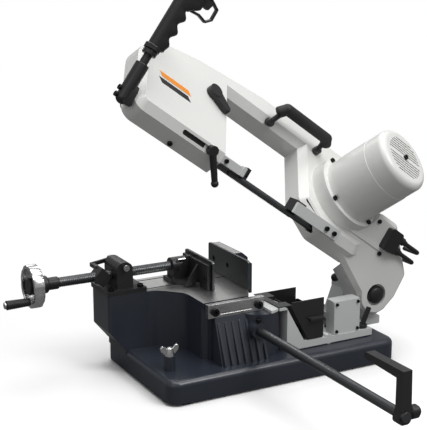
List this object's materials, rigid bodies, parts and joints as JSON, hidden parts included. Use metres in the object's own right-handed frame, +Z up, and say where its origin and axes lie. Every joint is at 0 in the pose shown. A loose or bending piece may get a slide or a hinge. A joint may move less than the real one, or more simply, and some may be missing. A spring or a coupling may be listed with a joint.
{
  "type": "band saw",
  "caption": "Swivel-head metal-cutting band saw with a slanted bow, vise with handwheel, work stop, carry handle and pistol-grip trigger, head raised.",
  "frame": {"origin": "centre of the foot bolt pattern, on the floor plane", "axes": "+X along the vise screw towards the head pivot, +Y away from the operator, +Z up; head shown raised 35.3 degrees"},
  "size_m": [0.8749, 0.741, 0.7945],
  "materials": {
    "base_blue": "semi-gloss",
    "head_white": "satin",
    "console_grey": "satin",
    "bright_steel": "machined",
    "polished": "polished",
    "dark_steel": "ground",
    "oxide_screws": "black oxide",
    "black_paint": "satin",
    "black_plastic": "matte",
    "rubber": "matte",
    "wheel_iron": "turned",
    "bronze": "satin"
  },
  "bodies": {
    "base": {"base_casting": "base_blue", "fixed_jaw_plate": "dark_steel", "vise_screws": "oxide_screws", "vise_bracket": "black_paint", "half_nut_pin": "bright_steel", "rod_clamp_screw": "oxide_screws"},
    "console": {"swivel_console": "console_grey", "swivel_bolt": "bright_steel", "kerf_bar": "bright_steel", "console_screws": "oxide_screws", "electrical_box": "console_grey", "electrical_box_cover": "console_grey", "electrical_box_screws": "oxide_screws", "pivot_shaft": "bright_steel", "pivot_nut": "bright_steel"},
    "tray": {"chip_tray": "black_paint"},
    "swivel_lock_lever": {"swivel_lock_lever": "black_paint"},
    "head_lock_pin": {"head_lock_pin": "black_plastic"},
    "moving_jaw": {"moving_jaw": "black_paint", "moving_jaw_plate": "dark_steel", "moving_jaw_screws": "oxide_screws"},
    "vise_screw": {"vise_screw": "bright_steel", "handwheel": "polished", "crank_pin": "bright_steel"},
    "crank_grip": {"crank_grip": "black_plastic"},
    "half_nut": {"half_nut": "black_paint"},
    "stop_rod": {"stop_rod": "dark_steel"},
    "stop_arm": {"stop_arm": "black_paint"},
    "stop_knob": {"stop_knob": "black_plastic"},
    "wing_screw": {"wing_screw": "polished"},
    "head": {"bow_casting": "head_white", "pivot_bushes": "bronze", "cover_hinge_pin": "bright_steel", "blade": "dark_steel", "motor_body": "head_white", "motor_fan_cover": "head_white", "motor_screws": "oxide_screws", "bow_screws": "oxide_screws", "terminal_box": "black_plastic", "motor_cables": "rubber", "guide_bracket": "console_grey", "guide_head_right": "black_paint", "carry_handle": "black_paint", "carry_handle_grip": "rubber", "handle_bracket": "black_paint", "handle_tube": "black_paint", "pistol_grip": "black_plastic"},
    "wheel_cover": {"wheel_cover": "head_white", "cover_knobs": "black_plastic"},
    "drive_wheel": {"drive_wheel": "wheel_iron", "drive_shaft": "bright_steel"},
    "motor_rotor": {"motor_rotor": "bright_steel", "motor_fan": "black_plastic"},
    "idler_slide": {"idler_slide": "bright_steel"},
    "idler_wheel": {"idler_wheel": "wheel_iron"},
    "guide_left": {"guide_arm": "console_grey", "guide_head_left": "black_paint"},
    "guide_clamp_lever": {"guide_clamp_lever": "black_plastic"},
    "tension_lever": {"tension_lever": "black_plastic"},
    "trigger": {"trigger": "black_plastic"}
  },
  "joints": [
    {"name": "console_swivel", "type": "hinge", "parent": "base", "child": "console", "pos_m": [-0.028, -0.072, 0.14], "axis": [0, 0, 1], "range_deg": [0, 60]},
    {"name": "head_tilt", "type": "hinge", "parent": "console", "child": "head", "pos_m": [0.26, 0, 0.125], "axis": [0, 1, 0], "range_deg": [-35.3, 10]},
    {"name": "tray_pull", "type": "slide", "parent": "console", "child": "tray", "axis": [0, -1, 0], "range_m": [0, 0.1]},
    {"name": "swivel_lock_turn", "type": "hinge", "parent": "console", "child": "swivel_lock_lever", "pos_m": [0.212, -0.096, 0.066], "axis": [0, 0, 1], "range_deg": [-15, 25]},
    {"name": "head_lock_pull", "type": "slide", "parent": "console", "child": "head_lock_pin", "axis": [-1, 0, 0], "range_m": [0, 0.01]},
    {"name": "vise_slide", "type": "slide", "parent": "base", "child": "moving_jaw", "axis": [1, 0, 0], "range_m": [-0.064, 0.061]},
    {"name": "vise_screw_spin", "type": "hinge", "parent": "moving_jaw", "child": "vise_screw", "pos_m": [-0.15, 0.095, 0.201], "axis": [1, 0, 0], "range_deg": [-6000, 6000]},
    {"name": "crank_grip_spin", "type": "hinge", "parent": "vise_screw", "child": "crank_grip", "pos_m": [-0.48, 0.07591, 0.17657], "axis": [1, 0, 0], "continuous": true},
    {"name": "half_nut_release", "type": "hinge", "parent": "base", "child": "half_nut", "pos_m": [-0.2575, 0.095, 0.222], "axis": [0, 1, 0], "range_deg": [0, 20]},
    {"name": "stop_rod_slide", "type": "slide", "parent": "base", "child": "stop_rod", "axis": [0, 1, 0], "range_m": [-0.02, 0.04]},
    {"name": "stop_arm_swing", "type": "hinge", "parent": "stop_rod", "child": "stop_arm", "pos_m": [-0.052, -0.574, 0.11], "axis": [0, 1, 0], "range_deg": [-90, 90]},
    {"name": "stop_knob_turn", "type": "hinge", "parent": "stop_arm", "child": "stop_knob", "pos_m": [-0.03, -0.574, 0.11], "axis": [1, 0, 0], "range_deg": [0, 360]},
    {"name": "wing_screw_turn", "type": "hinge", "parent": "base", "child": "wing_screw", "pos_m": [-0.232, -0.084, 0.08], "axis": [0, 0, 1], "range_deg": [0, 360]},
    {"name": "motor_spin", "type": "hinge", "parent": "head", "child": "motor_rotor", "pos_m": [0.22609, -0.072, 0.3713], "axis": [0.4086, -0.7071, 0.5771], "continuous": true},
    {"name": "drive_wheel_spin", "type": "hinge", "parent": "head", "child": "drive_wheel", "pos_m": [0.18523, -0.00129, 0.31359], "axis": [0.4086, -0.7071, 0.5771], "continuous": true},
    {"name": "tension_turn", "type": "hinge", "parent": "head", "child": "tension_lever", "pos_m": [-0.08895, 0.0072, 0.56664], "axis": [-0.4086, 0.7071, -0.5771], "range_deg": [0, 90]},
    {"name": "idler_tension_slide", "type": "slide", "parent": "head", "child": "idler_slide", "axis": [-0.8161, 0, 0.5779], "range_m": [-0.0035, 0]},
    {"name": "idler_wheel_spin", "type": "hinge", "parent": "idler_slide", "child": "idler_wheel", "pos_m": [-0.17224, -0.00129, 0.56669], "axis": [0.4086, -0.7071, 0.5771], "continuous": true},
    {"name": "guide_slide", "type": "slide", "parent": "head", "child": "guide_left", "axis": [-0.8161, 0, 0.5779], "range_m": [0, 0.05]},
    {"name": "guide_clamp_turn", "type": "hinge", "parent": "guide_left", "child": "guide_clamp_lever", "pos_m": [-0.14356, -0.096, 0.47568], "axis": [0, -1, 0], "range_deg": [-40, 40]},
    {"name": "cover_open", "type": "hinge", "parent": "head", "child": "wheel_cover", "pos_m": [0.16694, 0.12528, 0.44351], "axis": [0.8161, 0, -0.5779], "range_deg": [0, 100]},
    {"name": "trigger_squeeze", "type": "slide", "parent": "head", "child": "trigger", "axis": [-0.8161, 0, 0.5779], "range_m": [0, 0.006]}
  ],
  "couplings": [
    {"joint": "vise_screw_spin", "follows": "vise_slide", "rad_per_m": 1570.8},
    {"joint": "drive_wheel_spin", "follows": "motor_spin", "ratio": 0.05},
    {"joint": "idler_wheel_spin", "follows": "motor_spin", "ratio": 0.05},
    {"joint": "tension_turn", "follows": "idler_tension_slide", "rad_per_m": -448.8}
  ]
}
